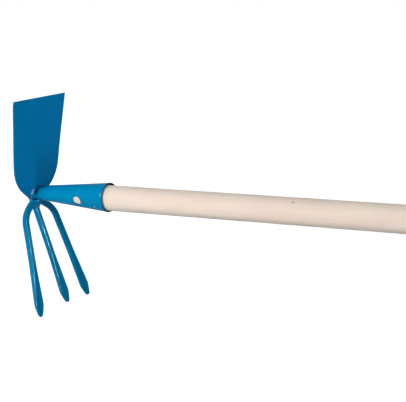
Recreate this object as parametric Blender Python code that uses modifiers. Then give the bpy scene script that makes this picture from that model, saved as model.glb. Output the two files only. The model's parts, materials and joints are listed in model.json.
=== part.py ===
"""Double hoe: a hoe blade above and a three-tined fork below, welded round the end of one
rolled steel socket, on a long round wooden handle.

Every piece is modelled in the tool's own axes, in metres: the origin is the centre of the
socket's mouth, +X runs along the handle away from the head, +Z points up the blade. The
empty rest_frame then tilts the tool as it lies on a floor, on the two outer tine tips and
the far end of the handle, with +Z up and the origin under the middle of its box.
"""

import math

import bmesh
import bpy
from mathutils import Vector

OBJECT_NAME = "double_hoe"
CLEARANCE = 0.0003

# Handle
HANDLE_DIAMETER = 0.024
HANDLE_LENGTH = 1.200
HANDLE_SEAT_LENGTH = 0.062
HANDLE_DROP = 0.0004
HANDLE_END_RADIUS = 0.004

# Socket, a cone of rolled sheet with its seam underneath
SOCKET_LENGTH = 0.0872
SOCKET_BLANK_LENGTH = 0.0992
SOCKET_SHEET = 0.0012
SOCKET_HALF_ANGLE = math.radians(4.95)
SOCKET_SEAM_ANGLE = math.radians(3.4)
HOLE_DIAMETER = 0.0092
HOLE_FROM_MOUTH = 0.0312
HOLE_TURN = math.radians(-163.0)

# Blade, a pressed plate with a soft crease up its lower middle
BLADE_HEIGHT = 0.0948
BLADE_EDGE_WIDTH = 0.0785
BLADE_THICKNESS = 0.0015
BLADE_LEAN = math.radians(9.2)
BLADE_SIDE_TAPER = math.radians(4.6)
SHOULDER_HEIGHT = 0.0285
SHOULDER_RADIUS = 0.0350
NECK_SLOPE = math.radians(53.0)
NECK_FILLET_RADIUS = 0.0040
FOOT_WIDTH = 0.0140
CREASE_SLOPE = 0.075
CREASE_HEIGHT = 0.050
CREASE_ROUNDING = 0.004
CREASE_FADE = 2.5
EDGE_BEVEL_LENGTH = 0.0040
EDGE_THICKNESS = 0.0007

# Fork, two outer tines bent from one rod and a straight middle tine
ROD_DIAMETER = 0.0068
FORK_LEAN = math.radians(14.0)
FORK_SETBACK = 0.0017
CROWN_HALF_WIDTH = 0.0035
CROWN_BEND_RADIUS = 0.0130
CROWN_BEND_ANGLE = math.radians(35.0)
CROWN_ARM_LENGTH = 0.0054
TINE_BEND_RADIUS = 0.0200
TINE_SPLAY = math.radians(9.8)
TINE_LENGTH = 0.0890
MIDDLE_LEAN = math.radians(18.0)
MIDDLE_SETBACK = 0.0055
MIDDLE_TIP_DEPTH = 0.1148

# Flattened points of the tines
LEAF_WIDTH = 0.0117
LEAF_THICKNESS = 0.0048
LEAF_POINT_LENGTH = 0.0116
LEAF_POINT_BOW = 0.25
LEAF_TAPER_LENGTH = 0.0420
LEAF_TAPER_EASE = 0.35
LEAF_NOSE_RADIUS = 0.0018
LEAF_TIP_THINNING = 0.25

# Weld beads
BEAD_RADIUS = 0.0015
BEAD_RIPPLE = 0.10
BEAD_RIPPLE_PITCH = 0.0024
BEAD_END_RADIUS = 0.00035
SOCKET_BEAD_START = math.radians(38.0)
CROWN_BEAD_WIDTH = 0.0120
FOOT_BEAD_WIDTH = 0.0090
TINE_BEAD_TURN = math.radians(105.0)

# Fineness of the solids
TURN_STEPS = 64
CUTTER_SIDES = 40
ROD_SIDES = 20
BEAD_SIDES = 12
BEND_STEPS = 7
CORNER_STEPS = 5
PLATE_COLUMNS = 7
RINGS_PER_RIPPLE = 4
NOSE_RING_ANGLES = (20.0, 45.0, 68.0, 90.0)
POINT_RING_SHARES = (0.36, 0.62, 0.86, 1.14)
TAPER_RING_SHARES = (0.16, 0.30, 0.44, 0.58, 0.74, 1.0)
MERGE_DISTANCE = 0.00001
SHARP_ANGLE = math.radians(40.0)

# Plain looks, with linear colours
BLUE_PAINT = (0.001, 0.238, 0.485, 1.0)
PAINT_ROUGHNESS = 0.25
BEECH_WOOD = (0.830, 0.680, 0.560, 1.0)
WOOD_ROUGHNESS = 0.6

rod_radius = ROD_DIAMETER / 2
handle_radius = HANDLE_DIAMETER / 2
socket_slope = math.tan(SOCKET_HALF_ANGLE)
sheet_across = SOCKET_SHEET / math.cos(SOCKET_HALF_ANGLE)
mouth_radius = handle_radius + HANDLE_DROP + CLEARANCE + sheet_across


def socket_radius(x):
    """Outer radius of the socket at x, which is negative towards the head."""
    return mouth_radius + x * socket_slope


def crease_rise(height, across):
    """How far the plate is pressed towards the handle beside its crease."""
    fade = max(0.0, 1.0 - height / CREASE_HEIGHT) ** CREASE_FADE
    return CREASE_SLOPE * fade * (math.hypot(across, CREASE_ROUNDING) - CREASE_ROUNDING)


# The blade's middle plane crosses the socket's axis here, so that the socket seats on its face
seat_rise = crease_rise(0.0, socket_radius(-SOCKET_LENGTH))
blade_x = -SOCKET_LENGTH - (BLADE_THICKNESS / 2 + seat_rise + CLEARANCE) / math.cos(BLADE_LEAN)
fork_x = blade_x - FORK_SETBACK
middle_x = blade_x - MIDDLE_SETBACK

# The crown of the outer tines' rod lies right under the end of the socket
crown_depth = (socket_radius(fork_x) + CLEARANCE + rod_radius) / (
    1.0 - socket_slope * math.tan(FORK_LEAN))
crown_x = fork_x + crown_depth * math.tan(FORK_LEAN)
crown_drop = crown_depth / math.cos(FORK_LEAN)


def blade_face_x(across, z):
    """Place along X of the blade's front face."""
    rise = crease_rise(z / math.cos(BLADE_LEAN), across)
    return blade_x + z * math.tan(BLADE_LEAN) + (BLADE_THICKNESS / 2 + rise) / math.cos(BLADE_LEAN)


def clear_scene():
    for old in list(bpy.data.objects):
        bpy.data.objects.remove(old, do_unlink=True)


def new_collection(name):
    collection = bpy.data.collections.new(name)
    bpy.context.scene.collection.children.link(collection)
    return collection


def material(name, colour, roughness):
    made = bpy.data.materials.new(name)
    made.use_nodes = True
    made.diffuse_color = colour
    shader = made.node_tree.nodes["Principled BSDF"]
    shader.inputs["Base Color"].default_value = colour
    shader.inputs["Roughness"].default_value = roughness
    return made


def painted(name):
    return material(name + "_paint", BLUE_PAINT, PAINT_ROUGHNESS)


def add_piece(name, mesh, look, parts, rest_frame):
    piece = bpy.data.objects.new(name, mesh)
    mesh.materials.append(look)
    parts.objects.link(piece)
    piece.parent = rest_frame
    return piece


def add_cutter(cutter, name, cutters, rest_frame):
    """Takes the primitive that was just made out of the scene's collection."""
    cutter.name = name
    for holder in list(cutter.users_collection):
        holder.objects.unlink(cutter)
    cutters.objects.link(cutter)
    cutter.parent = rest_frame
    cutter.hide_render = True
    cutter.display_type = "WIRE"
    return cutter


def subtract(piece, cutter):
    cut = piece.modifiers.new(cutter.name, "BOOLEAN")
    cut.operation = "DIFFERENCE"
    cut.solver = "EXACT"
    cut.object = cutter


def profile_mesh(name, points):
    mesh = bpy.data.meshes.new(name)
    edges = [(i, i + 1) for i in range(len(points) - 1)]
    mesh.from_pydata(points, edges, [])
    return mesh


def turn(piece, angle):
    screw = piece.modifiers.new("turn", "SCREW")
    screw.axis = "Z"
    screw.angle = angle
    screw.steps = TURN_STEPS
    screw.render_steps = TURN_STEPS
    screw.use_merge_vertices = True
    screw.merge_threshold = MERGE_DISTANCE
    screw.use_smooth_shade = True


def lay_along_handle(piece):
    """Turns local +Z to the tool's +X, and local +X to straight down."""
    piece.rotation_euler = (0.0, math.radians(90.0), 0.0)


def arc(centre_x, centre_y, radius, start, end, steps):
    """Points of an arc, without its first one."""
    points = []
    for i in range(1, steps + 1):
        angle = start + (end - start) * i / steps
        points.append((centre_x + radius * math.cos(angle), centre_y + radius * math.sin(angle)))
    return points


def make_handle(parts, rest_frame):
    top = HANDLE_LENGTH - HANDLE_SEAT_LENGTH
    shoulder = handle_radius - HANDLE_END_RADIUS
    outline = [(0.0, top), (shoulder, top)]
    outline += arc(shoulder, top - HANDLE_END_RADIUS, HANDLE_END_RADIUS,
                   math.pi / 2, 0.0, CORNER_STEPS)
    outline += [(handle_radius, 0.0)]
    outline += [(handle_radius - HANDLE_SEAT_LENGTH * socket_slope, -HANDLE_SEAT_LENGTH)]
    outline += [(0.0, -HANDLE_SEAT_LENGTH)]
    mesh = profile_mesh("handle", [(r, 0.0, z) for r, z in outline])
    wood = material("handle_beech", BEECH_WOOD, WOOD_ROUGHNESS)
    handle = add_piece("handle", mesh, wood, parts, rest_frame)
    handle.location = (0.0, 0.0, -HANDLE_DROP)
    lay_along_handle(handle)
    turn(handle, 2 * math.pi)
    return handle


def make_socket(parts, cutters, rest_frame):
    start = SOCKET_SEAM_ANGLE / 2
    line = [(mouth_radius, 0.0), (socket_radius(-SOCKET_BLANK_LENGTH), -SOCKET_BLANK_LENGTH)]
    points = [(r * math.cos(start), r * math.sin(start), z) for r, z in line]
    mesh = profile_mesh("socket", points)
    socket = add_piece("socket", mesh, painted("socket"), parts, rest_frame)
    lay_along_handle(socket)
    turn(socket, 2 * math.pi - SOCKET_SEAM_ANGLE)
    sheet = socket.modifiers.new("sheet", "SOLIDIFY")
    sheet.thickness = SOCKET_SHEET
    sheet.offset = -1.0
    sheet.use_even_offset = True

    # The hole for a fixing nail goes through one wall
    wall_radius = socket_radius(-HOLE_FROM_MOUTH)
    bpy.ops.mesh.primitive_cylinder_add(vertices=CUTTER_SIDES, radius=HOLE_DIAMETER / 2,
                                        depth=wall_radius)
    hole = add_cutter(bpy.context.object, "hole_cutter", cutters, rest_frame)
    hole.location = (-HOLE_FROM_MOUTH, wall_radius * math.cos(HOLE_TURN),
                     wall_radius * math.sin(HOLE_TURN))
    hole.rotation_euler = (HOLE_TURN - math.pi / 2, 0.0, 0.0)
    subtract(socket, hole)

    # The small end is cut to the lean of the blade's face
    cutter_size = 4 * handle_radius
    bpy.ops.mesh.primitive_cube_add(size=cutter_size)
    end = add_cutter(bpy.context.object, "socket_end_cutter", cutters, rest_frame)
    end.rotation_euler = (0.0, BLADE_LEAN, 0.0)
    back = cutter_size / 2 - BLADE_THICKNESS / 2 - seat_rise - CLEARANCE
    end.location = (blade_x - back * math.cos(BLADE_LEAN), 0.0, back * math.sin(BLADE_LEAN))
    subtract(socket, end)
    return socket


def foot_height():
    """Lowest height of the plate, just clear of the crown that it stands on."""
    front_x = blade_face_x(0.0, -crown_depth + rod_radius)
    beside = abs(crown_x - front_x)
    reach = rod_radius + CLEARANCE
    above = math.sqrt(max(0.0, reach * reach - beside * beside))
    return (above - crown_depth) / math.cos(BLADE_LEAN)


def blade_outline():
    """Height and half width down one side, from the cutting edge to the foot."""
    edge_half = BLADE_EDGE_WIDTH / 2
    shoulder_half = edge_half - (BLADE_HEIGHT - SHOULDER_HEIGHT) * math.tan(BLADE_SIDE_TAPER)
    bevel_height = BLADE_HEIGHT - EDGE_BEVEL_LENGTH
    middle_height = (bevel_height + SHOULDER_HEIGHT) / 2
    outline = []
    for height in (BLADE_HEIGHT, bevel_height, middle_height, SHOULDER_HEIGHT):
        share = (BLADE_HEIGHT - height) / (BLADE_HEIGHT - SHOULDER_HEIGHT)
        outline.append((height, edge_half + (shoulder_half - edge_half) * share))

    # Round shoulder, from the taper of the side to the slope of the neck
    centre_height = SHOULDER_HEIGHT + SHOULDER_RADIUS * math.sin(BLADE_SIDE_TAPER)
    centre_half = shoulder_half - SHOULDER_RADIUS * math.cos(BLADE_SIDE_TAPER)
    for i in range(1, BEND_STEPS + 1):
        slope = BLADE_SIDE_TAPER + (NECK_SLOPE - BLADE_SIDE_TAPER) * i / BEND_STEPS
        outline.append((centre_height - SHOULDER_RADIUS * math.sin(slope),
                        centre_half + SHOULDER_RADIUS * math.cos(slope)))

    # Hollow fillet at the neck, which ends straight down at the foot
    height, half = outline[-1]
    foot_half = FOOT_WIDTH / 2
    fillet_half = foot_half + NECK_FILLET_RADIUS * (1.0 - math.cos(NECK_SLOPE))
    fillet_height = height - (half - fillet_half) / math.tan(NECK_SLOPE)
    centre_height = fillet_height - NECK_FILLET_RADIUS * math.sin(NECK_SLOPE)
    for i in range(CORNER_STEPS + 1):
        slope = NECK_SLOPE * (1.0 - i / CORNER_STEPS)
        step_height = centre_height + NECK_FILLET_RADIUS * math.sin(slope)
        step_half = foot_half + NECK_FILLET_RADIUS * (1.0 - math.cos(slope))
        if step_height > foot_height():
            outline.append((step_height, step_half))
    outline.append((foot_height(), min(foot_half, outline[-1][1])))
    return outline


def make_blade(parts, cutters, rest_frame):
    mesh = bpy.data.meshes.new("blade")
    plate = bmesh.new()
    rows = []
    for height, half in blade_outline():
        row = []
        for column in range(PLATE_COLUMNS + 1):
            across = half * column / PLATE_COLUMNS
            row.append(plate.verts.new((crease_rise(height, across), across, height)))
        rows.append(row)
    for upper, lower in zip(rows, rows[1:]):
        for a, b, c, d in zip(upper, upper[1:], lower[1:], lower):
            plate.faces.new((a, d, c, b))
    bmesh.ops.recalc_face_normals(plate, faces=plate.faces)
    plate.to_mesh(mesh)
    plate.free()
    blade = add_piece("blade", mesh, painted("blade"), parts, rest_frame)
    blade.location = (blade_x, 0.0, 0.0)
    blade.rotation_euler = (0.0, BLADE_LEAN, 0.0)
    mirror = blade.modifiers.new("other_half", "MIRROR")
    mirror.use_axis = (False, True, False)
    mirror.merge_threshold = MERGE_DISTANCE
    thickness = blade.modifiers.new("thickness", "SOLIDIFY")
    thickness.thickness = BLADE_THICKNESS
    thickness.offset = 0.0

    # The cutting edge is bevelled on the side away from the handle
    bevel_angle = math.atan2(BLADE_THICKNESS - EDGE_THICKNESS, EDGE_BEVEL_LENGTH)
    bpy.ops.mesh.primitive_cube_add(size=1.0)
    bevel = add_cutter(bpy.context.object, "edge_cutter", cutters, blade)
    bevel.scale = (BLADE_THICKNESS * 3, BLADE_EDGE_WIDTH * 1.2, EDGE_BEVEL_LENGTH * 3)
    bevel.rotation_euler = (0.0, bevel_angle, 0.0)
    edge_x = BLADE_THICKNESS / 2 - EDGE_THICKNESS
    bevel.location = (edge_x - bevel.scale.x / 2 * math.cos(bevel_angle), 0.0,
                      BLADE_HEIGHT + bevel.scale.x / 2 * math.sin(bevel_angle))
    subtract(blade, bevel)
    return blade


def loft(name, rings, sides):
    """Closed mesh through elliptical rings, each a centre with its two half axes."""
    mesh = bpy.data.meshes.new(name)
    body = bmesh.new()
    loops = []
    for centre, wide, thin in rings:
        loop = []
        for i in range(sides):
            angle = 2 * math.pi * i / sides
            loop.append(body.verts.new(centre + wide * math.cos(angle) + thin * math.sin(angle)))
        loops.append(loop)
    for near, far in zip(loops, loops[1:]):
        for i in range(sides):
            j = (i + 1) % sides
            body.faces.new((near[i], near[j], far[j], far[i]))
    body.faces.new(loops[0])
    body.faces.new(loops[-1])
    bmesh.ops.recalc_face_normals(body, faces=body.faces)
    for face in body.faces:
        face.smooth = True
    body.to_mesh(mesh)
    body.free()
    mesh.set_sharp_from_angle(angle=SHARP_ANGLE)
    return mesh


def smooth_step(share):
    share = min(1.0, max(0.0, share))
    return share * share * (3.0 - 2.0 * share)


def leaf_section(from_tip):
    """Half width and half thickness of a tine at a distance from its tip."""
    wide = LEAF_WIDTH / 2
    thin = LEAF_THICKNESS / 2
    if from_tip < LEAF_POINT_LENGTH:
        share = from_tip / LEAF_POINT_LENGTH
        bowed = share + LEAF_POINT_BOW * share * (1.0 - share)
        wide = LEAF_NOSE_RADIUS + (wide - LEAF_NOSE_RADIUS) * bowed
        thin *= 1.0 - LEAF_TIP_THINNING * (1.0 - share)
    else:
        share = min(1.0, (from_tip - LEAF_POINT_LENGTH) / LEAF_TAPER_LENGTH)
        eased = smooth_step(share)
        wide += (rod_radius - wide) * (share + (eased - share) * LEAF_TAPER_EASE)
        thin += (rod_radius - thin) * eased
    inward = 1.0 - min(1.0, from_tip / LEAF_NOSE_RADIUS)
    nose = math.sqrt(1.0 - inward * inward)
    return wide * nose, thin * nose


def leaf_stations():
    """Distances from the tip at which a tine has a ring."""
    stations = [LEAF_NOSE_RADIUS * (1.0 - math.cos(math.radians(a))) for a in NOSE_RING_ANGLES]
    stations += [LEAF_POINT_LENGTH * share for share in POINT_RING_SHARES]
    stations += [LEAF_POINT_LENGTH + LEAF_TAPER_LENGTH * share for share in TAPER_RING_SHARES]
    return stations


def tine_ring(tip, up_tine, across, normal, from_tip):
    wide, thin = leaf_section(from_tip)
    return (tip + up_tine * from_tip, across * wide, normal * thin)


def crown_path():
    """Centre line of the bent rod on one side, from the middle of the crown, and its turns."""
    path = [(Vector((0.0, CROWN_HALF_WIDTH, -crown_drop)), 0.0)]
    y = CROWN_HALF_WIDTH
    z = -crown_drop
    turned = 0.0
    bends = ((CROWN_BEND_RADIUS, CROWN_BEND_ANGLE, CROWN_ARM_LENGTH),
             (TINE_BEND_RADIUS, math.pi / 2 - TINE_SPLAY, 0.0))
    for radius, angle, arm in bends:
        for i in range(1, BEND_STEPS + 1):
            step = turned + (angle - turned) * i / BEND_STEPS
            path.append((Vector((0.0, y + radius * (math.sin(step) - math.sin(turned)),
                                 z - radius * (math.cos(turned) - math.cos(step)))), step))
        y += radius * (math.sin(angle) - math.sin(turned)) + arm * math.cos(angle)
        z -= radius * (math.cos(turned) - math.cos(angle)) + arm * math.sin(angle)
        turned = angle
        if arm:
            path.append((Vector((0.0, y, z)), turned))
    return path


def half_fork_rings():
    """Rings of the bent rod from the middle of its crown to the tip on the +Y side."""
    normal = Vector((1.0, 0.0, 0.0))
    rings = []
    for centre, turned in crown_path():
        across = Vector((0.0, math.sin(turned), math.cos(turned)))
        rings.append((centre, across * rod_radius, normal * rod_radius))
    bend_end, turned = crown_path()[-1]
    down_tine = Vector((0.0, math.cos(turned), -math.sin(turned)))
    tip = bend_end + down_tine * TINE_LENGTH
    across = Vector((0.0, math.sin(turned), math.cos(turned)))
    for from_tip in reversed(leaf_stations()):
        rings.append(tine_ring(tip, -down_tine, across, normal, from_tip))
    return rings


def make_outer_tines(parts, rest_frame):
    right = half_fork_rings()
    left = []
    for centre, wide, thin in reversed(right):
        left.append((Vector((centre.x, -centre.y, centre.z)),
                     Vector((wide.x, -wide.y, wide.z)), thin))
    mesh = loft("outer_tines", left + right, ROD_SIDES)
    tines = add_piece("outer_tines", mesh, painted("outer_tines"), parts, rest_frame)
    tines.location = (fork_x, 0.0, 0.0)
    tines.rotation_euler = (0.0, -FORK_LEAN, 0.0)
    return tines


def foot_bead_place():
    """Where the foot's bead lies along X and Z, between the crown and the blade's rear corner."""
    foot = foot_height()
    corner_x = blade_x + foot * math.sin(BLADE_LEAN) - BLADE_THICKNESS / 2 * math.cos(BLADE_LEAN)
    corner_z = foot * math.cos(BLADE_LEAN) + BLADE_THICKNESS / 2 * math.sin(BLADE_LEAN)
    from_crown = rod_radius + BEAD_RADIUS + CLEARANCE
    from_corner = BEAD_RADIUS + CLEARANCE
    crown = Vector((crown_x, -crown_depth))
    between = Vector((corner_x, corner_z)) - crown
    along = (from_crown ** 2 - from_corner ** 2 + between.length ** 2) / (2 * between.length)
    aside = math.sqrt(max(0.0, from_crown ** 2 - along ** 2))
    heading = between.normalized()
    return crown + heading * along + Vector((-heading.y, heading.x)) * aside


def middle_top():
    """How far down its own axis the middle tine starts, just clear of the foot's bead."""
    down = Vector((math.sin(MIDDLE_LEAN), -math.cos(MIDDLE_LEAN)))
    return (foot_bead_place() - Vector((middle_x, 0.0))).dot(down) + BEAD_RADIUS + CLEARANCE


def make_middle_tine(parts, cutters, rest_frame):
    up_tine = Vector((0.0, 0.0, 1.0))
    across = Vector((0.0, 1.0, 0.0))
    normal = Vector((1.0, 0.0, 0.0))
    tip = -up_tine * MIDDLE_TIP_DEPTH
    rings = [tine_ring(tip, up_tine, across, normal, d) for d in leaf_stations()]
    rings.append((-up_tine * middle_top(), across * rod_radius, normal * rod_radius))
    mesh = loft("middle_tine", rings, ROD_SIDES)
    tine = add_piece("middle_tine", mesh, painted("middle_tine"), parts, rest_frame)
    tine.location = (middle_x, 0.0, 0.0)
    tine.rotation_euler = (0.0, -MIDDLE_LEAN, 0.0)

    # Its end is notched round the crown that it is welded behind
    bpy.ops.mesh.primitive_cylinder_add(vertices=CUTTER_SIDES, radius=rod_radius + CLEARANCE,
                                        depth=4 * ROD_DIAMETER)
    notch = add_cutter(bpy.context.object, "crown_notch_cutter", cutters, rest_frame)
    notch.location = (crown_x, 0.0, -crown_depth)
    notch.rotation_euler = (math.pi / 2, 0.0, 0.0)
    subtract(tine, notch)
    return tine


def make_bead(name, path, parts, rest_frame):
    """Rippled weld bead with round ends along a path of points."""
    steps = [b - a for a, b in zip(path, path[1:])]
    along = [0.0]
    for step in steps:
        along.append(along[-1] + step.length)
    rings = []
    for i, centre in enumerate(path):
        heading = (steps[max(0, i - 1)] + steps[min(i, len(steps) - 1)]).normalized()
        side = heading.orthogonal().normalized()
        to_end = min(along[i], along[-1] - along[i])
        end_share = min(1.0, to_end / BEAD_RADIUS)
        drawn_in = 1.0 - (BEAD_END_RADIUS / BEAD_RADIUS) ** 2
        round_end = math.sqrt(1.0 - drawn_in * (1.0 - end_share) ** 2)
        ripple = 1.0 - BEAD_RIPPLE * (1.0 - math.cos(2 * math.pi * along[i] / BEAD_RIPPLE_PITCH)) / 2
        radius = BEAD_RADIUS * round_end * ripple
        rings.append((centre, side * radius, heading.cross(side) * radius))
    mesh = loft(name, untwist(rings), BEAD_SIDES)
    return add_piece(name, mesh, painted(name), parts, rest_frame)


def untwist(rings):
    """Turns each ring about its path so that its first point follows the ring before it."""
    straight = [rings[0]]
    for centre, wide, thin in rings[1:]:
        last = straight[-1][1]
        angle = math.atan2(last.dot(thin.normalized()), last.dot(wide.normalized()))
        turned_wide = wide * math.cos(angle) + thin * math.sin(angle)
        turned_thin = thin * math.cos(angle) - wide * math.sin(angle)
        straight.append((centre, turned_wide, turned_thin))
    return straight


def even_steps(length):
    """Shares from 0 to 1, a few to each ripple of a bead of this length."""
    count = round(RINGS_PER_RIPPLE * length / BEAD_RIPPLE_PITCH)
    return [i / count for i in range(count + 1)]


def make_socket_bead(name, side, parts, rest_frame):
    """Fillet in the corner between the socket's end and the blade, down one side."""
    stand_off = BEAD_RADIUS + CLEARANCE
    seat_x = blade_face_x(0.0, 0.0) + stand_off
    ring_radius = socket_radius(seat_x) + stand_off / math.cos(SOCKET_HALF_ANGLE)
    end_angle = -math.asin((crown_depth - rod_radius - stand_off) / ring_radius)
    path = []
    for share in even_steps(ring_radius * (SOCKET_BEAD_START - end_angle)):
        angle = SOCKET_BEAD_START + (end_angle - SOCKET_BEAD_START) * share
        y = side * ring_radius * math.cos(angle)
        z = ring_radius * math.sin(angle)
        x = blade_face_x(abs(y) + BEAD_RADIUS, z) + stand_off / math.cos(BLADE_LEAN)
        path.append(Vector((x, y, z)))
    return make_bead(name, path, parts, rest_frame)


def straight_bead(name, x, z, width, parts, rest_frame):
    path = [Vector((x, width * (share - 0.5), z)) for share in even_steps(width)]
    return make_bead(name, path, parts, rest_frame)


def make_crown_bead(parts, rest_frame):
    """Fillet in front of the crown, under the end of the socket."""
    apart = rod_radius + BEAD_RADIUS + CLEARANCE
    z = -(socket_radius(crown_x + apart) + (BEAD_RADIUS + CLEARANCE) / math.cos(SOCKET_HALF_ANGLE))
    x = crown_x + math.sqrt(apart * apart - (z + crown_depth) ** 2)
    return straight_bead("crown_weld", x, z, CROWN_BEAD_WIDTH, parts, rest_frame)


def make_foot_bead(parts, rest_frame):
    """Fillet behind the crown, under the rear corner of the blade's foot."""
    place = foot_bead_place()
    return straight_bead("foot_weld", place.x, place.y, FOOT_BEAD_WIDTH, parts, rest_frame)


def make_tine_bead(parts, rest_frame):
    """Collar round the front of the middle tine, under the crown."""
    stand_off = rod_radius + BEAD_RADIUS + CLEARANCE
    down = Vector((math.sin(MIDDLE_LEAN), 0.0, -math.cos(MIDDLE_LEAN)))
    front = Vector((math.cos(MIDDLE_LEAN), 0.0, math.sin(MIDDLE_LEAN)))
    across = Vector((0.0, 1.0, 0.0))
    origin = Vector((middle_x, 0.0, 0.0))
    crown = Vector((crown_x, 0.0, -crown_depth))
    ahead = (crown - origin).dot(front)
    below = math.sqrt(stand_off ** 2 - min(stand_off, abs(stand_off - ahead)) ** 2)
    centre = origin + down * ((crown - origin).dot(down) + below)
    path = []
    for share in even_steps(stand_off * TINE_BEAD_TURN):
        angle = TINE_BEAD_TURN * (share - 0.5)
        path.append(centre + (front * math.cos(angle) + across * math.sin(angle)) * stand_off)
    return make_bead("tine_weld", path, parts, rest_frame)


def evaluated_points(pieces):
    """Points of the finished pieces, in world space."""
    bpy.context.view_layer.update()
    depsgraph = bpy.context.evaluated_depsgraph_get()
    points = []
    for piece in pieces:
        finished = piece.evaluated_get(depsgraph)
        mesh = finished.to_mesh()
        points += [finished.matrix_world @ vertex.co for vertex in mesh.vertices]
        finished.to_mesh_clear()
    return points


def lowest(points, tilt):
    return min(p.z * math.cos(tilt) - p.x * math.sin(tilt) for p in points)


def lay_on_floor(rest_frame, head_piece, tail_piece, pieces):
    """Tilts the tool until both pieces touch z = 0, and centres its box over the origin."""
    head_points = evaluated_points([head_piece])
    tail_points = evaluated_points([tail_piece])
    low = 0.0
    high = math.radians(45.0)
    for _ in range(50):
        tilt = (low + high) / 2
        if lowest(tail_points, tilt) > lowest(head_points, tilt):
            low = tilt
        else:
            high = tilt
    rest_frame.rotation_euler = (0.0, tilt, 0.0)
    points = evaluated_points(pieces)
    rest_frame.location = (-(min(p.x for p in points) + max(p.x for p in points)) / 2,
                           -(min(p.y for p in points) + max(p.y for p in points)) / 2,
                           -min(p.z for p in points))


def main():
    clear_scene()
    parts = new_collection(OBJECT_NAME)
    cutters = new_collection(OBJECT_NAME + "_cutters")
    rest_frame = bpy.data.objects.new("rest_frame", None)
    parts.objects.link(rest_frame)

    handle = make_handle(parts, rest_frame)
    socket = make_socket(parts, cutters, rest_frame)
    blade = make_blade(parts, cutters, rest_frame)
    outer_tines = make_outer_tines(parts, rest_frame)
    middle_tine = make_middle_tine(parts, cutters, rest_frame)
    welds = [
        make_socket_bead("socket_weld_left", -1.0, parts, rest_frame),
        make_socket_bead("socket_weld_right", 1.0, parts, rest_frame),
        make_crown_bead(parts, rest_frame),
        make_foot_bead(parts, rest_frame),
        make_tine_bead(parts, rest_frame),
    ]
    pieces = [handle, socket, blade, outer_tines, middle_tine] + welds
    lay_on_floor(rest_frame, outer_tines, handle, pieces)


main()
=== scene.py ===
"""Looks of the double hoe: finer pieces in place of its solids, paint, wood, light and camera.

Pieces are modelled in the tool's own axes, in metres: the origin is the centre of the socket's
mouth, +X runs along the handle away from the head, +Z points up the blade. rest_frame places
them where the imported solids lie.
"""

import json
import math
import random

import bmesh
import bpy
from mathutils import Matrix, Vector, noise
from mathutils.bvhtree import BVHTree


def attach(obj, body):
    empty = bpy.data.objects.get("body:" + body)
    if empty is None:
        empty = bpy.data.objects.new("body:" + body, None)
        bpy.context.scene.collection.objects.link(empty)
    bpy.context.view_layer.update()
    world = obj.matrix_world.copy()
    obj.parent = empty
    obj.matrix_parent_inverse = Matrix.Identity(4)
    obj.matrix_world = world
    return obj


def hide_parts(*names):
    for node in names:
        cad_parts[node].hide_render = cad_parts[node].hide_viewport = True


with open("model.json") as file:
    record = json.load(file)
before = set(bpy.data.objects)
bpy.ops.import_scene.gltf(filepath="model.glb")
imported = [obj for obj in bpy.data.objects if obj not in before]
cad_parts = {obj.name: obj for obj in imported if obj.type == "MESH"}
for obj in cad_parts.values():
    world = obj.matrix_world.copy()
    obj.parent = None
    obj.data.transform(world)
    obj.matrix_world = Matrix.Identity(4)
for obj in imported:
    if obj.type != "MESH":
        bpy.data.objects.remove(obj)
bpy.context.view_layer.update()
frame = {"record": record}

CLEARANCE = 0.0003

# Handle
HANDLE_DIAMETER = 0.024
HANDLE_LENGTH = 1.200
HANDLE_SEAT_LENGTH = 0.062
HANDLE_DROP = 0.0004
HANDLE_END_RADIUS = 0.004

# Socket
SOCKET_LENGTH = 0.0872
SOCKET_SHEET = 0.0012
SOCKET_HALF_ANGLE = math.radians(4.95)
SOCKET_SEAM_ANGLE = math.radians(3.4)
HOLE_DIAMETER = 0.0092
HOLE_FROM_MOUTH = 0.0312
HOLE_TURN = math.radians(-163.0)

# Blade
BLADE_HEIGHT = 0.0948
BLADE_EDGE_WIDTH = 0.0785
BLADE_THICKNESS = 0.0015
BLADE_LEAN = math.radians(9.2)
BLADE_SIDE_TAPER = math.radians(4.6)
SHOULDER_HEIGHT = 0.0285
SHOULDER_RADIUS = 0.0350
NECK_SLOPE = math.radians(53.0)
NECK_FILLET_RADIUS = 0.0040
FOOT_WIDTH = 0.0140
CREASE_SLOPE = 0.075
CREASE_HEIGHT = 0.050
CREASE_ROUNDING = 0.004
CREASE_FADE = 2.5
EDGE_BEVEL_LENGTH = 0.0040
EDGE_THICKNESS = 0.0007

# Fork
ROD_DIAMETER = 0.0068
FORK_LEAN = math.radians(14.0)
FORK_SETBACK = 0.0017
CROWN_HALF_WIDTH = 0.0035
CROWN_BEND_RADIUS = 0.0130
CROWN_BEND_ANGLE = math.radians(35.0)
CROWN_ARM_LENGTH = 0.0054
TINE_BEND_RADIUS = 0.0200
TINE_SPLAY = math.radians(9.8)
TINE_LENGTH = 0.0890
MIDDLE_LEAN = math.radians(18.0)
MIDDLE_SETBACK = 0.0055
MIDDLE_TIP_DEPTH = 0.1148
LEAF_WIDTH = 0.0117
LEAF_THICKNESS = 0.0048
LEAF_POINT_LENGTH = 0.0116
LEAF_POINT_BOW = 0.25
LEAF_TAPER_LENGTH = 0.0420
LEAF_TAPER_EASE = 0.35
LEAF_NOSE_RADIUS = 0.0018
LEAF_TIP_THINNING = 0.25

# Welds
BEAD_RADIUS = 0.0015
SOCKET_BEAD_START = math.radians(38.0)
CROWN_BEAD_WIDTH = 0.0120
FOOT_BEAD_WIDTH = 0.0090
TINE_BEAD_TURN = math.radians(105.0)

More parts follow.
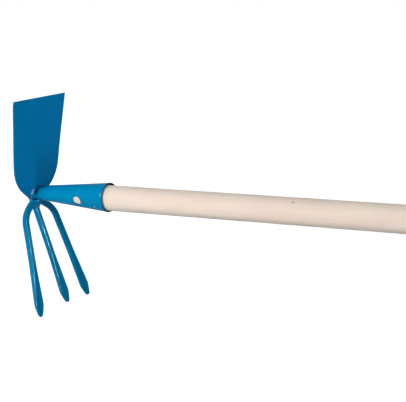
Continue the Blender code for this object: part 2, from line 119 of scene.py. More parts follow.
rod_radius = ROD_DIAMETER / 2
handle_radius = HANDLE_DIAMETER / 2
handle_reach = HANDLE_LENGTH - HANDLE_SEAT_LENGTH
socket_slope = math.tan(SOCKET_HALF_ANGLE)
sheet_across = SOCKET_SHEET / math.cos(SOCKET_HALF_ANGLE)
mouth_radius = handle_radius + HANDLE_DROP + CLEARANCE + sheet_across


def socket_radius(x):
    return mouth_radius + x * socket_slope


def crease_rise(height, across):
    fade = max(0.0, 1.0 - height / CREASE_HEIGHT) ** CREASE_FADE
    return CREASE_SLOPE * fade * (math.hypot(across, CREASE_ROUNDING) - CREASE_ROUNDING)


seat_rise = crease_rise(0.0, socket_radius(-SOCKET_LENGTH))
blade_x = -SOCKET_LENGTH - (BLADE_THICKNESS / 2 + seat_rise + CLEARANCE) / math.cos(BLADE_LEAN)
fork_x = blade_x - FORK_SETBACK
middle_x = blade_x - MIDDLE_SETBACK
crown_depth = (socket_radius(fork_x) + CLEARANCE + rod_radius) / (
    1.0 - socket_slope * math.tan(FORK_LEAN))
crown_x = fork_x + crown_depth * math.tan(FORK_LEAN)
crown_drop = crown_depth / math.cos(FORK_LEAN)


def blade_face_x(across, z):
    rise = crease_rise(z / math.cos(BLADE_LEAN), across)
    return blade_x + z * math.tan(BLADE_LEAN) + (BLADE_THICKNESS / 2 + rise) / math.cos(BLADE_LEAN)


# The handle's end face in the record says how the tool lies
end_face = frame["record"]["mounts"][0]
end_axis = Vector(end_face["axis"])
rest_turn = Matrix.Rotation(math.atan2(-end_axis.z, end_axis.x), 4, "Y")
end_centre = rest_turn @ Vector((handle_reach, 0.0, -HANDLE_DROP))
rest_frame = Matrix.Translation(Vector(end_face["pos_m"]) - end_centre) @ rest_turn
tool_frame = rest_frame.inverted()

X_AXIS = Vector((1.0, 0.0, 0.0))
Y_AXIS = Vector((0.0, 1.0, 0.0))
Z_AXIS = Vector((0.0, 0.0, 1.0))


# Short names for making Blender's data


def with_settings(made, settings):
    for key, value in settings.items():
        setattr(made, key, value)
    return made


def add_object(name, data):
    made = bpy.data.objects.new(name, data)
    bpy.context.scene.collection.objects.link(made)
    return made


class Nodes:
    """Adds shader nodes to a tree."""

    def __init__(self, tree):
        self.tree = tree

    def fill(self, socket, value):
        if isinstance(value, bpy.types.NodeSocket):
            self.tree.links.new(value, socket)
        else:
            socket.default_value = value

    def node(self, kind, inputs=None, **settings):
        """Adds a node with its settings and fills inputs, each by its name or number."""
        made = with_settings(self.tree.nodes.new(kind), settings)
        for key, value in (inputs or {}).items():
            self.fill(made.inputs[key], value)
        return made

    def math(self, operation, a, b=0.0):
        return self.node("ShaderNodeMath", {0: a, 1: b}, operation=operation).outputs[0]

    def ramp(self, value, limits, levels=(0.0, 1.0), interpolation="SMOOTHSTEP"):
        """Runs from one level to another while a value runs between two limits."""
        ends = {"Value": value, "From Min": limits[0], "From Max": limits[1],
                "To Min": levels[0], "To Max": levels[1]}
        return self.node("ShaderNodeMapRange", ends,
                         interpolation_type=interpolation).outputs["Result"]

    def white_rays(self):
        """1 on rays that see the room as white: the camera's, reflected and refracted ones."""
        rays = self.node("ShaderNodeLightPath").outputs
        seen = self.math("MAXIMUM", rays["Is Camera Ray"], rays["Is Glossy Ray"])
        return self.math("MAXIMUM", seen, rays["Is Transmission Ray"])


class Look(Nodes):
    """A material whose patterns follow the place on the tool, in the tool's axes."""

    def __init__(self, name):
        self.material = bpy.data.materials.new(name)
        self.material.use_nodes = True
        super().__init__(self.material.node_tree)
        to_tool = {"Vector": self.node("ShaderNodeTexCoord").outputs["Object"],
                   "Location": tool_frame.to_translation(), "Rotation": tool_frame.to_euler()}
        self.place = self.node("ShaderNodeMapping", to_tool).outputs["Vector"]

    def place_parts(self):
        return self.node("ShaderNodeSeparateXYZ", {"Vector": self.place}).outputs

    def stretched(self, scales):
        inputs = {"Vector": self.place, "Scale": scales}
        return self.node("ShaderNodeMapping", inputs).outputs["Vector"]

    def noise(self, scale, detail=2.0, roughness=0.5, place=None):
        """Noise from 0 to 1 over the tool, at a scale per metre."""
        inputs = {"Vector": place or self.place, "Scale": scale, "Detail": detail,
                  "Roughness": roughness}
        return self.node("ShaderNodeTexNoise", inputs).outputs["Fac"]

    def grain(self, scales, detail, roughness=0.5):
        """Noise with its own scale along each of the tool's axes."""
        return self.noise(1.0, detail, roughness, self.stretched(scales))

    def mix(self, share, a, b):
        inputs = {"Factor": share, "A": a, "B": b}
        return self.node("ShaderNodeMix", inputs, data_type="RGBA").outputs["Result"]

    def bumps(self, *layers):
        """Normal bent by layers of bump, each a pattern from 0 to 1 and its height in metres."""
        under = {}
        for pattern, height in layers:
            inputs = {"Height": pattern, "Distance": height, **under}
            under = {"Normal": self.node("ShaderNodeBump", inputs).outputs["Normal"]}
        return under["Normal"]

    def finished(self, inputs):
        """Fills the surface's inputs by name and hands over the material."""
        surface = self.tree.nodes["Principled BSDF"]
        for name, value in inputs.items():
            self.fill(surface.inputs[name], value)
        return self.material


# Paint

SOCKET_BLUES = ((0.0003, 0.247, 0.500, 1.0), (0.0002, 0.227, 0.460, 1.0))
# The blade's front has a lighter, bluer copy of the paint than its back: painted light that makes
# up for the weak light on the front
BLADE_BLUES = ((0.0003, 0.241, 0.580, 1.0), (0.0002, 0.226, 0.544, 1.0))
ROD_BLUES = ((0.0003, 0.205, 0.418, 1.0), (0.0002, 0.188, 0.384, 1.0))
# Pale blues of the paint drops: a painted highlight
DROP_HIGHLIGHT_BLUES = ((0.190, 0.480, 0.620, 1.0), (0.150, 0.440, 0.580, 1.0))
# Painted shade on the socket beside its weld
WELD_SHADE_BLUE = (0.0003, 0.030, 0.075, 1.0)
# Painted shade low on the blade
SHADED_BLADE_BLUE = (0.0002, 0.157, 0.366, 1.0)
SHEET_GLOSS_TINT = (0.10, 0.60, 1.0, 1.0)
ROD_GLOSS_TINT = (0.35, 0.78, 1.0, 1.0)
WELD_GLOSS_TINT = (0.50, 0.86, 1.0, 1.0)
FADING = (1.0, 0.0)

# Painted shade low on the blade: its fade with height, and its share from left to right of the
# crease
FOOT_SHADE_HEIGHTS = (0.008, 0.060)
FOOT_SHADE_SIDES = (-0.007, 0.005)
FOOT_SHADE_SHARES = (0.20, 1.0)


def shade_foot(s, colour):
    """Darkens the blade softly towards its foot with painted shade, most on the right of its
    crease.
    """
    parts = s.place_parts()
    low = s.ramp(parts["Z"], FOOT_SHADE_HEIGHTS, FADING)
    right = s.ramp(parts["Y"], FOOT_SHADE_SIDES, FOOT_SHADE_SHARES)
    return s.mix(s.math("MULTIPLY", low, right), colour, SHADED_BLADE_BLUE)


# Painted shade on the socket beside its weld, a crescent on its left and a run along its top:
# where each begins and ends from the blade, and how far up and to the left it lies
WELD_SHADE_BEGINS = (0.0020, 0.0042)
WELD_SHADE_CRESCENT_ENDS = (0.0052, 0.0088)
WELD_SHADE_CRESCENT_UP_LEFT = (0.0040, 0.0078)
WELD_SHADE_TOP_ENDS = (0.0080, 0.0190)
WELD_SHADE_TOP_SHARES = (0.75, 0.0)
WELD_SHADE_TOP_HEIGHTS = (0.0048, 0.0068)
WELD_SHADE_SHARE = 0.92
WELD_SHADE_NOISE_SCALE = 300.0
WELD_SHADE_UNEVENNESS = 0.0030


def paint_weld_shade(s, colour):
    """Darkens the socket's upper left beside its weld with painted shade, in a crescent and a run
    along its top.
    """
    parts = s.place_parts()
    leant = s.math("MULTIPLY", parts["Z"], -math.tan(BLADE_LEAN))
    from_end = s.math("ADD", s.math("ADD", parts["X"], leant), SOCKET_LENGTH)
    either_way = s.math("SUBTRACT", s.noise(WELD_SHADE_NOISE_SCALE), 0.5)
    place = s.math("ADD", from_end, s.math("MULTIPLY", either_way, WELD_SHADE_UNEVENNESS))
    begins = s.ramp(place, WELD_SHADE_BEGINS)
    ends = s.ramp(place, WELD_SHADE_CRESCENT_ENDS, FADING)
    up_left = s.ramp(s.math("SUBTRACT", parts["Z"], parts["Y"]), WELD_SHADE_CRESCENT_UP_LEFT)
    crescent = s.math("MULTIPLY", s.math("MULTIPLY", begins, ends), up_left)
    along_top = s.math("MULTIPLY", begins, s.ramp(place, WELD_SHADE_TOP_ENDS, WELD_SHADE_TOP_SHARES))
    along_top = s.math("MULTIPLY", along_top, s.ramp(parts["Z"], WELD_SHADE_TOP_HEIGHTS))
    share = s.math("MAXIMUM", crescent, along_top)
    return s.mix(s.math("MULTIPLY", share, WELD_SHADE_SHARE), colour, WELD_SHADE_BLUE)


DRIFT_NOISE_SCALE = 45.0
DRIFT_LIMITS = (0.30, 0.75)
DULL_NOISE_SCALE = 160.0
DULL_LIMITS = (0.3, 0.7)
PAINT_ROUGHNESS = (0.20, 0.27)
WAVE_NOISE_SCALE = 220.0
WAVE_HEIGHT = 0.00006
PEEL_NOISE_SCALE = 900.0
PEEL_HEIGHT = 0.000012


def blue_paint(name, blues, gloss, tint=SHEET_GLOSS_TINT, peel=1.0, roughening=1.0, painted_shade=None):
    """Paint over steel: slight drift of its colour and gloss, long waves and orange peel, and
    painted shade where one is given.
    """
    s = Look(name)
    drift = s.ramp(s.noise(DRIFT_NOISE_SCALE, detail=3.0), DRIFT_LIMITS)
    colour = s.mix(drift, *blues)
    # Painted shade laid over the paint's colour, where a piece has it
    if painted_shade:
        colour = painted_shade(s, colour)
    dull = s.noise(DULL_NOISE_SCALE, detail=3.0)
    waves = s.noise(WAVE_NOISE_SCALE)
    orange_peel = s.noise(PEEL_NOISE_SCALE, detail=1.0)
    return s.finished({
        "Base Color": colour,
        "Roughness": s.ramp(dull, DULL_LIMITS, [level * roughening for level in PAINT_ROUGHNESS]),
        "Specular IOR Level": gloss,
        "Specular Tint": tint,
        "Normal": s.bumps((waves, WAVE_HEIGHT * peel), (orange_peel, PEEL_HEIGHT * peel)),
    })


EDGE_DARKS = ((0.002, 0.008, 0.016, 1.0), (0.006, 0.022, 0.042, 1.0))
EDGE_GRAIN_SCALES = (300.0, 900.0, 900.0)
EDGE_GRAIN_LIMITS = (0.35, 0.7)
EDGE_GRAIN_HEIGHT = 0.00003
EDGE_ROUGHNESS = 0.6
EDGE_GLOSS = 0.02


def bare_edge(name):
    """Dark cut edge of the sheet, where the paint is thin."""
    s = Look(name)
    grain = s.grain(EDGE_GRAIN_SCALES, detail=3.0)
    return s.finished({
        "Base Color": s.mix(s.ramp(grain, EDGE_GRAIN_LIMITS), *EDGE_DARKS),
        "Roughness": EDGE_ROUGHNESS,
        "Specular IOR Level": EDGE_GLOSS,
        "Normal": s.bumps((grain, EDGE_GRAIN_HEIGHT)),
    })


# Wood

PALE_WOOD = (0.915, 0.800, 0.695, 1.0)
PINK_WOOD = (0.900, 0.745, 0.660, 1.0)
RING_WOOD = (0.870, 0.710, 0.600, 1.0)
FLECK_WOOD = (0.640, 0.430, 0.310, 1.0)
KNOT_WOOD = (0.500, 0.330, 0.260, 1.0)

# The growth rings' centre lies this far beside and below the handle's axis
PITH_OFFSETS = {"Y": 0.017, "Z": 0.009}
RINGS_PER_METRE = 2400.0
RING_WARP = 22.0
KNOT_PLACE = (0.1915, -0.0074, 0.0091)
KNOT_SIZE = (0.0028, 0.0015, 0.0015)

# Noise scales along the tool's axes
WARP_SCALES = (3.0, 20.0, 20.0)
FIBRE_SCALES = (22.0, 900.0, 900.0)
CLOUD_SCALES = (16.0, 60.0, 60.0)
FLECK_SCALES = (320.0, 2600.0, 2600.0)

# Limits of each pattern and the shares of its colour at them
RING_RAMP = ((-0.2, 1.0), (0.0, 0.45))
FIBRE_RAMP = ((0.42, 0.78), (0.0, 0.55))
CLOUD_RAMP = ((0.38, 0.66), (0.0, 0.85))
FLECK_RAMP = ((0.70, 0.80), (0.0, 0.45))
KNOT_RAMP = ((0.2, 1.0), (0.75, 0.0))

# Limits of the fibres and the roughness at them, then the heights of their bumps
WOOD_ROUGHNESS_RAMP = ((0.3, 0.8), (0.50, 0.66))
FIBRE_HEIGHT = 0.00005
FLECK_HEIGHT = 0.00002

# Light is scattered a little below the wood's surface
WOOD_SUBSURFACE = 0.9
WOOD_SUBSURFACE_RADII = (1.0, 0.9, 0.8)
WOOD_SUBSURFACE_DEPTH = 0.0025


def beech_wood(name):
    """Sanded beech: faint growth rings, long fibres, short ray flecks, one small knot."""
    s = Look(name)
    parts = s.place_parts()
    squares = []
    for axis, offset in PITH_OFFSETS.items():
        from_centre = s.math("ADD", parts[axis], offset)
        squares.append(s.math("MULTIPLY", from_centre, from_centre))
    turns = s.math("MULTIPLY", s.math("SQRT", s.math("ADD", *squares)), RINGS_PER_METRE)
    warp = s.math("MULTIPLY", s.grain(WARP_SCALES, detail=2.0), RING_WARP)
    rings = s.math("SINE", s.math("ADD", turns, warp))
    fibres = s.grain(FIBRE_SCALES, detail=4.0, roughness=0.6)
    cloud = s.grain(CLOUD_SCALES, detail=3.0)
    flecks = s.grain(FLECK_SCALES, detail=1.0)
    in_knot_sizes = {0: s.stretched([1.0 / size for size in KNOT_SIZE]),
                     1: [place / size for place, size in zip(KNOT_PLACE, KNOT_SIZE)]}
    from_knot = s.node("ShaderNodeVectorMath", in_knot_sizes, operation="DISTANCE")
    colour = PALE_WOOD
    for pattern, ramp, wood in ((rings, RING_RAMP, RING_WOOD),
                                (fibres, FIBRE_RAMP, RING_WOOD),
                                (cloud, CLOUD_RAMP, PINK_WOOD),
                                (flecks, FLECK_RAMP, FLECK_WOOD),
                                (from_knot.outputs["Value"], KNOT_RAMP, KNOT_WOOD)):
        colour = s.mix(s.ramp(pattern, *ramp), colour, wood)
    return s.finished({
        "Base Color": colour,
        "Roughness": s.ramp(fibres, *WOOD_ROUGHNESS_RAMP),
        "Subsurface Weight": WOOD_SUBSURFACE,
        "Subsurface Radius": WOOD_SUBSURFACE_RADII,
        "Subsurface Scale": WOOD_SUBSURFACE_DEPTH,
        "Specular IOR Level": 0.0,
        "Normal": s.bumps((fibres, FIBRE_HEIGHT), (flecks, FLECK_HEIGHT)),
    })


blade_paint = blue_paint("blue_gloss_paint_on_blade", BLADE_BLUES, gloss=0.012, painted_shade=shade_foot)
back_paint = blue_paint("blue_gloss_paint_on_blade_back", ROD_BLUES, gloss=0.012)
socket_paint = blue_paint("blue_gloss_paint_on_socket", SOCKET_BLUES, gloss=0.018, painted_shade=paint_weld_shade)
rod_paint = blue_paint("blue_gloss_paint_on_rods", ROD_BLUES, gloss=0.015, tint=ROD_GLOSS_TINT,
                       peel=0.25, roughening=0.48)
weld_paint = blue_paint("blue_paint_over_weld", ROD_BLUES, gloss=0.045, tint=WELD_GLOSS_TINT,
                        roughening=1.2)
drop_highlight_paint = blue_paint("paint_drop_painted_highlight", DROP_HIGHLIGHT_BLUES, gloss=0.04)
edge_steel = bare_edge("dark_cut_edge")
beech = beech_wood("sanded_beech")


# Pieces

SHARP_ANGLE = math.radians(40.0)
SHEET_SHARP_ANGLE = math.radians(60.0)
FORGED_SHARP_ANGLE = math.radians(75.0)


def new_piece(mesh, materials, node=None, turn=None):
    """Moves a mesh from the tool's axes to where the tool lies, in place of a CAD node."""
    mesh.transform(rest_frame if turn is None else rest_frame @ turn)
    for look in materials:
        mesh.materials.append(look)
    piece = add_object(mesh.name, mesh)
    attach(piece, "root")
    if node:
        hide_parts(node)
    return piece


def turned_about_y(angle, x):
    """Turn about the tool's Y axis, moved to a place on its X axis."""
    return Matrix.Translation((x, 0.0, 0.0)) @ Matrix.Rotation(angle, 4, "Y")


def to_mesh(body, name):
    mesh = bpy.data.meshes.new(name)
    body.to_mesh(mesh)
    body.free()
    return mesh


def smooth_mesh(body, name, sharp_angle=SHARP_ANGLE):
    bmesh.ops.recalc_face_normals(body, faces=body.faces)
    for face in body.faces:
        face.smooth = True
    mesh = to_mesh(body, name)
    mesh.set_sharp_from_angle(angle=sharp_angle)
    return mesh


def modify(piece, name, kind, **settings):
    with_settings(piece.modifiers.new(name, kind), settings)


def soften_edges(piece, width):
    modify(piece, "soft_edges", "BEVEL", width=width, segments=3, limit_method="ANGLE",
           angle_limit=SHARP_ANGLE, harden_normals=True)


def join_rings(body, near, far):
    """Closed band of faces between two rings of vertices."""
    following = [*range(1, len(near)), 0]
    return [body.faces.new((near[i], near[j], far[j], far[i]))
            for i, j in enumerate(following)]


def tube_faces(body, rings):
    """Skin over rings of vertices, closed at both ends."""
    for near, far in zip(rings, rings[1:]):
        join_rings(body, near, far)
    body.faces.new(rings[0])
    body.faces.new(list(reversed(rings[-1])))


def add_ball(body, place, heading, axes, size, subdivisions=3):
    """Adds a ball of three half sizes, the first of two axes turned to a heading."""
    turn = heading.to_track_quat(*axes).to_matrix().to_4x4()
    shape = Matrix.Diagonal((*size, 1.0))
    bmesh.ops.create_icosphere(body, subdivisions=subdivisions, radius=1.0,
                               matrix=Matrix.Translation(place) @ turn @ shape)


# Within the socket the wood is driven tight: it is centred, all but fills the sheet's bore, and
# eases to its plain size just inside the mouth
SEAT_GAP = 0.0001
SEAT_SWELL = HANDLE_DROP + CLEARANCE - SEAT_GAP
SEAT_EASE = 0.006
HANDLE_SIDES = 72
HANDLE_RINGS = 90
HANDLE_END_RINGS = 8
HANDLE_UNEVENNESS = 0.006
HANDLE_WAVES_PER_METRE = 6.0


def handle_outline():
    """Distance along the handle and radius, from its seat in the socket to its far end."""
    outline = []
    for x in (-HANDLE_SEAT_LENGTH, -HANDLE_SEAT_LENGTH / 2, -SEAT_EASE):
        outline.append((x, handle_radius + SEAT_SWELL + x * socket_slope))
    straight = handle_reach - HANDLE_END_RADIUS
    for i in range(HANDLE_RINGS + 1):
        outline.append((straight * i / HANDLE_RINGS, handle_radius))
    for i in range(1, HANDLE_END_RINGS + 1):
        angle = math.pi / 2 * i / HANDLE_END_RINGS
        outline.append((straight + HANDLE_END_RADIUS * math.sin(angle),
                        handle_radius - HANDLE_END_RADIUS * (1.0 - math.cos(angle))))
    return outline


def make_handle():
    """Turned handle, very slightly out of round beyond the socket."""
    body = bmesh.new()
    rings = []
    for x, radius in handle_outline():
        ring = []
        drop = HANDLE_DROP if x >= 0.0 else 0.0
        for i in range(HANDLE_SIDES):
            angle = 2 * math.pi * i / HANDLE_SIDES
            y = math.cos(angle)
            z = math.sin(angle)
            uneven = radius
            if x > 0.0:
                wave = noise.noise(Vector((x * HANDLE_WAVES_PER_METRE, y, z)))
                uneven = radius * (1.0 + min(0.0, HANDLE_UNEVENNESS * wave))
            ring.append(body.verts.new((x, uneven * y, uneven * z - drop)))
        rings.append(ring)
    tube_faces(body, rings)
    new_piece(smooth_mesh(body, "beech_handle"), [beech], "handle")


SOCKET_COLUMNS = 144
SOCKET_ROWS = 72
SOCKET_SOFTNESS = 0.00028
SHEET_START = -math.pi / 2 + SOCKET_SEAM_ANGLE / 2
SHEET_SWEEP = 2 * math.pi - SOCKET_SEAM_ANGLE
SHEET_FROM_BLADE = 0.00005

# Rounds that settle where the cone meets the leaning blade
END_ROUNDS = 6

# The sheet dips at its seam and at its hole, and swells at its mouth
SEAM_DIP = 0.00025
SEAM_DIP_WIDTH = 0.0015
MOUTH_LIP = 0.00012
MOUTH_LIP_WIDTH = 0.0012
MOUTH_LIP_FROM_MOUTH = 0.0006
HOLE_DIP = 0.00022
HOLE_DIP_WIDTH = 0.0007

# Half the columns and rows of squares that give way to rings of faces round the hole
HOLE_COLUMNS = 15
HOLE_ROWS = 6
HOLE_RINGS = 5


def bell(distance, width):
    return math.exp(-(distance / width) ** 2)


def socket_end_x(angle):
    """Where the sheet ends at the blade's face, at an angle round the socket."""
    x = -SOCKET_LENGTH
    for _ in range(END_ROUNDS):
        radius = socket_radius(x)
        across = abs(radius * math.cos(angle))
        x = blade_face_x(across, radius * math.sin(angle)) + SHEET_FROM_BLADE
    return x


def socket_point(u, v):
    """u from 0 to 1 round the sheet, v from 0 at the blade to 1 at the mouth."""
    angle = SHEET_START + SHEET_SWEEP * u
    x = socket_end_x(angle) * (1.0 - v)
    radius = socket_radius(x)
    from_seam = min(u, 1.0 - u) * SHEET_SWEEP * radius
    radius -= SEAM_DIP * bell(from_seam, SEAM_DIP_WIDTH)
    radius += MOUTH_LIP * bell(x + MOUTH_LIP_FROM_MOUTH, MOUTH_LIP_WIDTH)
    return Vector((x, radius * math.cos(angle), radius * math.sin(angle)))


def from_axis(place):
    return Vector((0.0, place.y, place.z))


def socket_grid(body, left, right, low, high):
    """Squares all over the sheet but for an opening between two columns and two rows."""
    grid = {}
    for c in range(SOCKET_COLUMNS + 1):
        for r in range(SOCKET_ROWS + 1):
            if not (left < c < right and low < r < high):
                grid[c, r] = body.verts.new(socket_point(c / SOCKET_COLUMNS, r / SOCKET_ROWS))
    for c in range(SOCKET_COLUMNS):
        for r in range(SOCKET_ROWS):
            if not (left <= c < right and low <= r < high):
                body.faces.new((grid[c, r], grid[c + 1, r], grid[c + 1, r + 1], grid[c, r + 1]))
    return grid


def hole_ring(body, border, hole_u, hole_v, share):
    """Ring a share of the way from the opening's border in the grid to the round hole."""
    hole_radius = HOLE_DIAMETER / 2
    wall_radius = socket_radius(-HOLE_FROM_MOUTH)
    sheet_length = -socket_end_x(HOLE_TURN)
    ring = []
    for c, r in border:
        du = (c / SOCKET_COLUMNS - hole_u) * SHEET_SWEEP * wall_radius
        dv = (r / SOCKET_ROWS - hole_v) * sheet_length
        reach = math.hypot(du, dv)
        shrink = (1.0 - share) + share * hole_radius / reach
        spot = socket_point(hole_u + du * shrink / (SHEET_SWEEP * wall_radius),
                            hole_v + dv * shrink / sheet_length)
        out = from_axis(spot).normalized()
        from_hole = reach * shrink - hole_radius
        ring.append(body.verts.new(spot - out * HOLE_DIP * bell(from_hole, HOLE_DIP_WIDTH)))
    return ring


def make_socket():
    """Rolled sheet with its butt seam underneath and the hole for a fixing nail."""
    body = bmesh.new()
    hole_u = ((HOLE_TURN - SHEET_START) % (2 * math.pi)) / SHEET_SWEEP
    hole_v = 1.0 + HOLE_FROM_MOUTH / socket_end_x(HOLE_TURN)
    left = round(hole_u * SOCKET_COLUMNS) - HOLE_COLUMNS
    right = left + 2 * HOLE_COLUMNS
    low = round(hole_v * SOCKET_ROWS) - HOLE_ROWS
    high = low + 2 * HOLE_ROWS
    grid = socket_grid(body, left, right, low, high)
    border = [(c, low) for c in range(left, right)]
    border += [(right, r) for r in range(low, high)]
    border += [(c, high) for c in range(right, left, -1)]
    border += [(left, r) for r in range(high, low, -1)]
    rings = [[grid[place] for place in border]]
    for step in range(1, HOLE_RINGS + 1):
        rings.append(hole_ring(body, border, hole_u, hole_v, step / HOLE_RINGS))
    for near, far in zip(rings, rings[1:]):
        join_rings(body, near, far)
    mesh = smooth_mesh(body, "rolled_socket", SHEET_SHARP_ANGLE)
    if sum(face.normal.dot(from_axis(face.center)) for face in mesh.polygons) < 0:
        mesh.flip_normals()
    socket = new_piece(mesh, [socket_paint, edge_steel], "socket")
    modify(socket, "sheet", "SOLIDIFY", thickness=SOCKET_SHEET, offset=-1.0,
           use_even_offset=True, material_offset_rim=1, material_offset=1)
    soften_edges(socket, SOCKET_SOFTNESS)
    return socket


def foot_height():
    """Height along the blade of its foot, which rests on the bow's crown."""
    front_x = blade_face_x(0.0, -crown_depth + rod_radius)
    beside = abs(crown_x - front_x)
    reach = rod_radius + CLEARANCE
    above = math.sqrt(max(0.0, reach * reach - beside * beside))
    return (above - crown_depth) / math.cos(BLADE_LEAN)


# Rows of the blade's grid down its side, and how they crowd towards its edge
UPPER_ROWS = 22
UPPER_CROWDING = 1.15
SHOULDER_ROWS = 14
NECK_ROWS = 6
FILLET_ROWS = 8
LEAST_ROW_HEIGHT = 0.0002

# Columns of the grid, and how they crowd towards its middle
BLADE_COLUMNS = 36
BLADE_CROWDING = 1.25

# Slight waves in the plate, and where in the noise they are cut from
PLATE_UNEVENNESS = 0.00012
PLATE_WAVES_PER_METRE = 28.0
PLATE_WAVES_START = 3.0

BLADE_SOFTNESS = 0.00022


def blade_outline():
    """Height and half width down one side, from the cutting edge to the foot."""
    edge_half = BLADE_EDGE_WIDTH / 2
    shoulder_half = edge_half - (BLADE_HEIGHT - SHOULDER_HEIGHT) * math.tan(BLADE_SIDE_TAPER)
    outline = []
    for i in range(UPPER_ROWS + 1):
        share = (i / UPPER_ROWS) ** UPPER_CROWDING
        height = BLADE_HEIGHT + (SHOULDER_HEIGHT - BLADE_HEIGHT) * share
        outline.append((height, edge_half + (shoulder_half - edge_half) * share))
    centre_height = SHOULDER_HEIGHT + SHOULDER_RADIUS * math.sin(BLADE_SIDE_TAPER)
    centre_half = shoulder_half - SHOULDER_RADIUS * math.cos(BLADE_SIDE_TAPER)
    for i in range(1, SHOULDER_ROWS + 1):
        slope = BLADE_SIDE_TAPER + (NECK_SLOPE - BLADE_SIDE_TAPER) * i / SHOULDER_ROWS
        outline.append((centre_height - SHOULDER_RADIUS * math.sin(slope),
                        centre_half + SHOULDER_RADIUS * math.cos(slope)))
    height, half = outline[-1]
    foot_half = FOOT_WIDTH / 2
    fillet_half = foot_half + NECK_FILLET_RADIUS * (1.0 - math.cos(NECK_SLOPE))
    fillet_height = height - (half - fillet_half) / math.tan(NECK_SLOPE)
    for i in range(1, NECK_ROWS):
        share = i / NECK_ROWS
        outline.append((height + (fillet_height - height) * share,
                        half + (fillet_half - half) * share))
    foot = foot_height()
    centre_height = fillet_height - NECK_FILLET_RADIUS * math.sin(NECK_SLOPE)
    for i in range(FILLET_ROWS + 1):
        slope = NECK_SLOPE * (1.0 - i / FILLET_ROWS)
        step_height = centre_height + NECK_FILLET_RADIUS * math.sin(slope)
        step_half = foot_half + NECK_FILLET_RADIUS * (1.0 - math.cos(slope))
        if step_height > foot + LEAST_ROW_HEIGHT:
            outline.append((step_height, step_half))
    outline.append((foot, min(foot_half, outline[-1][1])))
    return outline


def grid_rim(rows):
    """Ring of vertices round the outside of a grid of rows."""
    rim = rows[0] + [row[-1] for row in rows[1:]] + rows[-1][-2::-1]
    return rim + [row[0] for row in rows[-2:0:-1]]


def make_blade():
    """Pressed plate: creased lower middle, slightly uneven faces, ground edge behind."""
    body = bmesh.new()
    front = []
    back = []
    for height, half in blade_outline():
        front_row = []
        back_row = []
        ground = max(0.0, 1.0 - (BLADE_HEIGHT - height) / EDGE_BEVEL_LENGTH)
        thin = (BLADE_THICKNESS - EDGE_THICKNESS) * ground
        for c in range(BLADE_COLUMNS + 1):
            share = 2.0 * c / BLADE_COLUMNS - 1.0
            across = half * math.copysign(abs(share) ** BLADE_CROWDING, share)
            spot = Vector((across * PLATE_WAVES_PER_METRE, height * PLATE_WAVES_PER_METRE,
                           PLATE_WAVES_START))
            middle = crease_rise(height, across) + PLATE_UNEVENNESS * noise.noise(spot)
            front_row.append(body.verts.new((middle + BLADE_THICKNESS / 2, across, height)))
            back_row.append(body.verts.new((middle - BLADE_THICKNESS / 2 + thin, across, height)))
        front.append(front_row)
        back.append(back_row)
    for look, rows in enumerate((front, back)):
        for upper, lower in zip(rows, rows[1:]):
            for corners in zip(upper, upper[1:], lower[1:], lower):
                body.faces.new(corners).material_index = look
    for face in join_rings(body, grid_rim(front), grid_rim(back)):
        face.material_index = 1
    blade = new_piece(smooth_mesh(body, "pressed_blade"), [blade_paint, back_paint], "blade",
                      turn=turned_about_y(BLADE_LEAN, blade_x))
    soften_edges(blade, BLADE_SOFTNESS)
    return blade


# Rings of a tine: angles over its nose, shares of its point's length, steps of its taper
NOSE_ANGLES = (12, 24, 38, 54, 72, 90)
POINT_SHARES = (0.22, 0.34, 0.48, 0.62, 0.76, 0.88, 0.96, 1.04, 1.14)
TAPER_RINGS = 18
BEND_RINGS = 14
SHAFT_RINGS = 14
FORGED_SIDES = 28
LEAF_SQUARENESS = 0.7

# Dents are shallow, on the leaf deeper and closer than on the rod
LEAF_DENT = 0.00010
LEAF_DENTS_PER_METRE = 160.0
ROD_DENT = 0.00004
ROD_DENTS_PER_METRE = 60.0

# Half width, half thickness and flatness of the plain rod
rod_section = (rod_radius, rod_radius, 0.0)


def smooth_step(share):
    share = min(1.0, max(0.0, share))
    return share * share * (3.0 - 2.0 * share)


def leaf_section(from_tip):
    """Half width, half thickness and flatness at a distance from a tine's tip."""
    wide = LEAF_WIDTH / 2
    thin = LEAF_THICKNESS / 2
    flatness = 1.0
    if from_tip < LEAF_POINT_LENGTH:
        share = from_tip / LEAF_POINT_LENGTH
        bowed = share + LEAF_POINT_BOW * share * (1.0 - share)
        wide = LEAF_NOSE_RADIUS + (wide - LEAF_NOSE_RADIUS) * bowed
        thin *= 1.0 - LEAF_TIP_THINNING * (1.0 - share)
    else:
        share = min(1.0, (from_tip - LEAF_POINT_LENGTH) / LEAF_TAPER_LENGTH)
        eased = smooth_step(share)
        wide += (rod_radius - wide) * (share + (eased - share) * LEAF_TAPER_EASE)
        thin += (rod_radius - thin) * eased
        flatness = 1.0 - eased
    inward = 1.0 - min(1.0, from_tip / LEAF_NOSE_RADIUS)
    nose = math.sqrt(1.0 - inward * inward)
    return wide * nose, thin * nose, flatness


def leaf_stations():
    """Distances of a tine's rings from its tip, up to where its rod is plain."""
    stations = [LEAF_NOSE_RADIUS * (1.0 - math.cos(math.radians(a))) for a in NOSE_ANGLES]
    stations += [LEAF_POINT_LENGTH * share for share in POINT_SHARES]
    stations += [LEAF_POINT_LENGTH + LEAF_TAPER_LENGTH * i / TAPER_RINGS
                 for i in range(2, TAPER_RINGS + 1)]
    return stations


